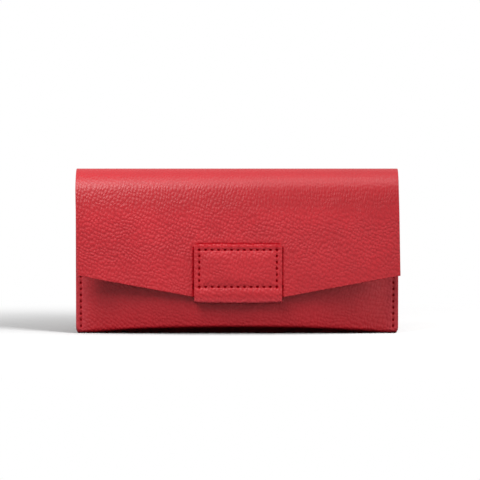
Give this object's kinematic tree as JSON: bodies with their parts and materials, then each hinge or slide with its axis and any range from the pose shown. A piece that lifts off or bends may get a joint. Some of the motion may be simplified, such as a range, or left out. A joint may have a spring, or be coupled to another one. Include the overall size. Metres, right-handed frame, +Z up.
{
  "type": "flap wallet",
  "caption": "Long leather wallet with a flap rolled over the top, a folded and stitched closing tab with hidden magnets, sewn side seams, card pockets and a zipped coin pocket inside.",
  "frame": {"origin": "on the table, at the middle of the standing wallet's width and depth", "axes": "+X to the right seen from the front, +Y from the front to the back panel, +Z up from the bottom fold to the roll"},
  "size_m": [0.19, 0.0252, 0.0973],
  "materials": {
    "hide": "pebbled grain, soft sheen",
    "lining": "smooth, matt",
    "thread": "waxed",
    "pocket_cloth": "twill",
    "zip_tape": "woven",
    "zip_metal": "polished",
    "magnet": "plated"
  },
  "bodies": {
    "wallet_body": {"shell_hide": "hide", "keeper_magnet": "magnet", "magnet_cup": "lining", "left_seam_thread": "thread", "right_seam_thread": "thread", "coin_pocket": "pocket_cloth", "card_panel": "lining", "card_pocket_low": "lining", "card_pocket_middle": "lining", "card_pocket_top": "lining", "card_thread": "thread", "zip_tape_back": "zip_tape", "zip_tape_front": "zip_tape", "zip_teeth_back": "zip_metal", "zip_teeth_front": "zip_metal", "zip_stops": "zip_metal"},
    "roll_back": {"fold_strip_back": "hide"},
    "roll_front": {"fold_strip_front": "hide"},
    "flap": {"flap_leaf": "hide", "closing_tab": "hide", "tab_thread": "thread", "flap_magnet": "magnet"},
    "slider": {"zip_slider": "zip_metal"},
    "pull": {"zip_pull": "zip_metal"}
  },
  "joints": [
    {"name": "flap_fold_back", "type": "hinge", "parent": "wallet_body", "child": "roll_back", "pos_m": [0, 0.01104, 0.09127], "axis": [-1, 0, 0], "range_deg": [0, 60]},
    {"name": "flap_fold_top", "type": "hinge", "parent": "roll_back", "child": "roll_front", "pos_m": [0, 0.0006, 0.0973], "axis": [-1, 0, 0], "range_deg": [0, 60]},
    {"name": "flap_fold_front", "type": "hinge", "parent": "roll_front", "child": "flap", "pos_m": [0, -0.00984, 0.09127], "axis": [-1, 0, 0], "range_deg": [0, 60]},
    {"name": "zip_slide", "type": "slide", "parent": "wallet_body", "child": "slider", "axis": [-1, 0, 0], "range_m": [0, 0.081]},
    {"name": "pull_swing", "type": "hinge", "parent": "slider", "child": "pull", "pos_m": [0.0405, 0.0079, 0.07695], "axis": [0, 1, 0], "range_deg": [0, 170]}
  ],
  "couplings": [
    {"joint": "flap_fold_top", "follows": "flap_fold_front", "ratio": 1},
    {"joint": "flap_fold_back", "follows": "flap_fold_front", "ratio": 1}
  ]
}
